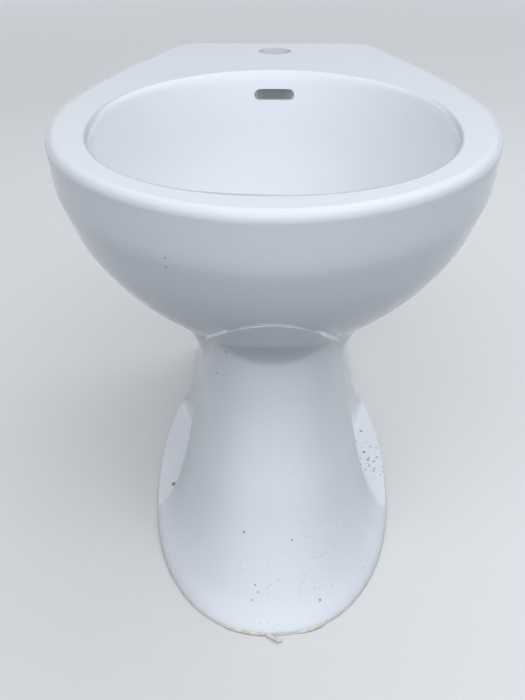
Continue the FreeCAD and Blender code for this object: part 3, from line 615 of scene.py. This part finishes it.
# bead along the upper edge of the lens-shaped lip under the bowl
beadSettings = {
    "halfWidth": 0.052,
    "reach": 0.0805,
    "baseY": -0.1685,
    "probeFrom": 0.05,
    "width": 0.0005,
    "height": 0.0005,
    "lift": 0.0003,
    "uneven": (0.3, 9.0, 3.1),       # share, pace and start of the drift in its size
    "endHeight": (0.0022, 0.0034),   # raised bars at the left and the right end
    "endWidth": (0.0012, 0.0015),
    "endLength": (0.92, 0.84),
    "endEase": 0.12,
    "tip": (0.35, 6.0),              # size of the first ring, rings to full size
    "tick": (1.545, 0.012, 0.0009),
    "steps": 320,
    "sides": 12,
    "low": (0.60, 0.61, 0.63, 1.0),
    "high": (0.66, 0.67, 0.69, 1.0),
    "bar": (0.95, 0.955, 0.96, 1.0),
    "barFrom": (0.0310, 0.0340),
    "roughness": 0.25,
}
beadGrain = {"scale": 160.0, "range": (0.35, 0.65), "fineScale": 900.0, "bump": (0.2, 0.0004)}


def beadSize(turn):
    look = beadSettings
    share, pace, start = look["uneven"]
    rough = 1.0 + share * drift.noise(Vector((turn * pace, start, 0.0)))
    width = look["width"] * rough
    height = look["height"] * rough
    for end, gone in ((0, math.pi - turn), (1, turn)):
        length = look["endLength"][end]
        bar = eased((length - gone) / (length * look["endEase"]))
        width += (look["endWidth"][end] - look["width"]) * bar
        height += (look["endHeight"][end] - look["height"]) * bar
    where, spread, extra = look["tick"]
    return width, height + extra * math.exp(-((turn - where) / spread) ** 2)


def makeBeadLook():
    look = beadSettings
    grain = beadGrain
    material, tree, shader = blankMaterial("lipBeadWhite", look["roughness"])
    coords = objectCoords(tree)
    mottle = noise(tree, coords, grain["scale"], 3.0)
    color = blendColor(tree, remap(tree, mottle, *grain["range"]), look["low"], look["high"])
    side = withConstant(tree, splitCoords(tree, coords).outputs["X"], "ABSOLUTE")
    color = blendColor(tree, remap(tree, side, *look["barFrom"]), color, look["bar"])
    tree.links.new(color, shader.inputs["Base Color"])
    addBump(tree, shader, noise(tree, coords, grain["fineScale"], 2.0), *grain["bump"])
    return material


def makeBead():
    look = beadSettings
    path = []
    for turn in numpy.linspace(0.0, math.pi, look["steps"]):
        turn = float(turn)
        x = look["halfWidth"] * math.cos(turn)
        y = look["baseY"] - look["reach"] * math.sin(turn)
        start = Vector((x, y, look["probeFrom"]))
        place, normal, index, gap = bowlTree.ray_cast(start, Vector((0, 0, 1)))
        path.append((place, normal, turn))
    rings = []
    tipSize, tipRings = look["tip"]
    for k, (place, normal, turn) in enumerate(path):
        before = path[max(k - 1, 0)][0]
        after = path[min(k + 1, len(path) - 1)][0]
        across = (after - before).normalized().cross(normal).normalized()
        taper = min(1.0, tipSize + k / tipRings, tipSize + (len(path) - 1 - k) / tipRings)
        width, height = beadSize(turn)
        centre = place + normal * look["lift"]
        rings.append(ovalRing(centre, across, width * taper, normal, height * taper, look["sides"]))
    bm = bmesh.new()
    shapedTube(bm, rings)
    addPiece("lipBead", bm, makeBeadLook())


makeBead()


# old sealant left along the bottom edge of the foot
sealantSettings = {
    "axisY": 0.010,
    "sweep": 82.0,
    "steps": 320,
    "probe": 0.0012,
    "thinWidth": 0.0005,
    "thinHeight": 0.0012,
    "thickWidth": 0.0020,
    "thickHeight": 0.0030,
    "thickRuns": ((-0.042, -0.004), (0.022, 0.047)),   # from and to, across the front
    "blend": 0.004,
    "drifts": ((24.0, 0.0, 1.7, 0.45), (90.0, 5.0, 0.3, 0.25)),   # pace, place and share
    "inside": 0.0008,
    "floorGap": 0.0002,
    "shape": ((0.0, 1.0), (0.45, 0.82), (0.82, 0.48), (1.0, 0.1)),
    "low": (0.66, 0.61, 0.47, 1.0),
    "high": (0.82, 0.79, 0.69, 1.0),
    "mixRange": (0.35, 0.65),
    "roughRange": (0.3, 0.7, 0.45, 0.60),
    "grainScale": 160.0,
    "fineScale": 900.0,
    "bump": (0.2, 0.0004),
    "tear": ((-0.0035, -0.2490, 0.0016), (0.0005, -0.2527, 0.0016), (0.0030, -0.2552, 0.0024),
             (0.0062, -0.2567, 0.0019), (0.0092, -0.2581, 0.0009)),
    "tearWidth": (0.0016, 0.0020, 0.0017, 0.0026, 0.0012),
    "tearThickness": 0.0011,
    "tearSides": 10,
    "tearSmooth": 0.6,
}


def makeSealantLook():
    look = sealantSettings
    material, tree, shader = blankMaterial("oldSealant", look["roughRange"][2])
    coords = objectCoords(tree)
    mottle = noise(tree, coords, look["grainScale"], 3.0)
    mix = remap(tree, mottle, *look["mixRange"])
    tree.links.new(blendColor(tree, mix, look["low"], look["high"]), shader.inputs["Base Color"])
    tree.links.new(remap(tree, mottle, *look["roughRange"]), shader.inputs["Roughness"])
    addBump(tree, shader, noise(tree, coords, look["fineScale"], 2.0), *look["bump"])
    return material


def unevenSealant(angle):
    # slow and quick drift in its size along the foot
    rough = 1.0
    for pace, y, z, share in sealantSettings["drifts"]:
        rough += share * drift.noise(Vector((angle * pace, y, z)))
    return rough


def makeSealant(finish):
    look = sealantSettings
    base = Vector((0.0, look["axisY"], 0.0))
    rings = []
    for turn in numpy.linspace(-look["sweep"], look["sweep"], look["steps"]):
        angle = math.radians(float(turn))
        outward = Vector((math.sin(angle), -math.cos(angle), 0.0))
        reach = outerReach((pedestalTree,), (0.0, look["axisY"]), outward, look["probe"])
        x = outward.x * reach
        thick = 0.0
        for low, high in look["thickRuns"]:
            share = min((x - low) / look["blend"], (high - x) / look["blend"])
            thick = max(thick, clamped(share))
        rough = unevenSealant(angle)
        width = (look["thinWidth"] + thick * (look["thickWidth"] - look["thinWidth"])) * rough
        height = (look["thinHeight"] + thick * (look["thickHeight"] - look["thinHeight"])) * rough
        innermost = base + outward * (reach - look["inside"])
        ring = [innermost + Vector((0, 0, height))]
        for out, up in look["shape"]:
            lift = Vector((0, 0, max(up * height, look["floorGap"])))
            ring.append(base + outward * (reach + out * width) + lift)
        ring.append(innermost + Vector((0, 0, look["floorGap"])))
        rings.append(ring)
    bm = bmesh.new()
    shapedTube(bm, rings)
    addPiece("footSealant", bm, finish)


def makeTear(finish):
    # torn end of the sealant, lying on the floor at the front
    look = sealantSettings
    spine = [Vector(point) for point in look["tear"]]
    upward = Vector((0, 0, 1))
    rings = []
    for k, point in enumerate(spine):
        ahead = (spine[min(k + 1, len(spine) - 1)] - spine[max(k - 1, 0)]).normalized()
        across = Vector((-ahead.y, ahead.x, 0.0)).normalized()
        rings.append(ovalRing(
            point, across, look["tearWidth"][k], upward, look["tearThickness"] / 2,
            look["tearSides"]))
    bm = bmesh.new()
    shapedTube(bm, rings)
    bmesh.ops.subdivide_edges(
        bm, edges=bm.edges, cuts=1, use_grid_fill=True, smooth=look["tearSmooth"])
    for vert in bm.verts:
        vert.co.z = max(vert.co.z, look["floorGap"])
    addPiece("sealantTear", bm, finish)


sealantFinish = makeSealantLook()
makeSealant(sealantFinish)
makeTear(sealantFinish)


# floor, light and camera
studio = {
    "floorSize": 60.0,
    "floorColor": (0.82, 0.80, 0.77, 1.0),
    "floorBounce": (0.16, 0.17, 0.19, 1.0),   # little light comes back up from the floor
    "floorFade": (1.7, 5.0, 0.0, 0.50),       # the far floor pales into the backdrop
    "floorRoughness": 0.7,
    "worldColor": (0.83, 0.905, 1.0, 1.0),
    "worldStrength": 0.49,
    "worldSeen": (0.76, 0.79, 0.83, 1.0),
    "sheenColor": (0.93, 0.96, 1.0, 1.0),     # what the glaze mirrors: brighter above and in front
    "sheenToward": (0.10, -0.55, 0.83),
    "sheenRange": (-0.1, 0.95, 0.42, 1.15),
    "aim": (0.0, -0.05, 0.22),
    "panelColor": (0.875, 0.930, 1.0),
    "panels": (
        ("frontPanel", (0.15, -1.90, 2.20), (3.6, 2.0), 55.0),
        ("backPanel", (0.60, 1.30, 2.10), (2.0, 1.0), 15.5),
        ("rightPanel", (1.70, 0.10, 2.00), (1.2, 1.2), 2.0)),
}
cameraSettings = {
    "place": (0.00257, -0.9311, 0.618), "pitch": 27.0, "yaw": 0.782, "lens": 54.0, "sensor": 36.0}


def seenRays(tree):
    path = addNode(tree, "ShaderNodeLightPath")
    seen = combine(tree, path.outputs["Is Camera Ray"], path.outputs["Is Glossy Ray"], "MAXIMUM")
    return combine(tree, seen, path.outputs["Is Transmission Ray"], "MAXIMUM")


def makeFloor():
    bm = bmesh.new()
    bmesh.ops.create_grid(bm, x_segments=4, y_segments=4, size=studio["floorSize"] / 2)
    mesh = bpy.data.meshes.new("floor")
    bm.to_mesh(mesh)
    bm.free()
    floor = bpy.data.objects.new("floor", mesh)
    scene.collection.objects.link(floor)
    material, tree, shader = blankMaterial("floorPaint", studio["floorRoughness"])
    tree.links.new(
        blendColor(tree, seenRays(tree), studio["floorBounce"], studio["floorColor"]),
        shader.inputs["Base Color"])
    away = addNode(tree, "ShaderNodeVectorMath", operation="LENGTH")
    tree.links.new(objectCoords(tree), away.inputs[0])
    pale = remap(tree, away.outputs["Value"], *studio["floorFade"])
    shader.inputs["Emission Color"].default_value = studio["worldSeen"]
    tree.links.new(combine(tree, pale, seenRays(tree)), shader.inputs["Emission Strength"])
    mesh.materials.append(material)


def mixShaders(tree, factor, first, second):
    made = addNode(tree, "ShaderNodeMixShader")
    tree.links.new(factor, made.inputs["Fac"])
    tree.links.new(first, made.inputs[1])
    tree.links.new(second, made.inputs[2])
    return made.outputs["Shader"]


def makeWorld():
    world = bpy.data.worlds.new("studio")
    scene.world = world
    world.use_nodes = True
    tree = world.node_tree
    tree.nodes.clear()
    light = addNode(tree, "ShaderNodeBackground", {
        "Color": studio["worldColor"], "Strength": studio["worldStrength"]})
    seen = addNode(tree, "ShaderNodeBackground", {"Color": studio["worldSeen"], "Strength": 1.0})
    sheen = addNode(tree, "ShaderNodeBackground", {"Color": studio["sheenColor"]})
    lean = addNode(tree, "ShaderNodeVectorMath", operation="DOT_PRODUCT")
    tree.links.new(addNode(tree, "ShaderNodeTexCoord").outputs["Generated"], lean.inputs[0])
    lean.inputs[1].default_value = studio["sheenToward"]
    strength = remap(tree, lean.outputs["Value"], *studio["sheenRange"])
    tree.links.new(strength, sheen.inputs["Strength"])
    rays = addNode(tree, "ShaderNodeLightPath").outputs
    mirrored = mixShaders(
        tree, rays["Is Glossy Ray"], light.outputs["Background"], sheen.outputs["Background"])
    direct = combine(tree, rays["Is Camera Ray"], rays["Is Transmission Ray"], "MAXIMUM")
    output = addNode(tree, "ShaderNodeOutputWorld")
    tree.links.new(
        mixShaders(tree, direct, mirrored, seen.outputs["Background"]), output.inputs["Surface"])


def addPanel(name, place, size, power):
    lamp = bpy.data.lights.new(name, "AREA")
    lamp.shape = "RECTANGLE"
    lamp.size, lamp.size_y = size
    lamp.energy = power
    lamp.color = studio["panelColor"]
    panel = bpy.data.objects.new(name, lamp)
    panel.location = place
    aim = Vector(studio["aim"]) - Vector(place)
    panel.rotation_euler = aim.to_track_quat("-Z", "Y").to_euler()
    panel.visible_glossy = False    # no hard-edged panels mirrored in the glaze
    scene.collection.objects.link(panel)


def makeCamera():
    look = cameraSettings
    lens = bpy.data.cameras.new("camera")
    lens.lens = look["lens"]
    lens.sensor_width = look["sensor"]
    camera = bpy.data.objects.new("camera", lens)
    camera.location = look["place"]
    camera.rotation_euler = (math.radians(90 - look["pitch"]), 0, math.radians(look["yaw"]))
    scene.collection.objects.link(camera)
    scene.camera = camera


makeFloor()
makeWorld()
for panelRow in studio["panels"]:
    addPanel(*panelRow)
makeCamera()
scene.view_settings.view_transform = "Standard"
print("studio ready")
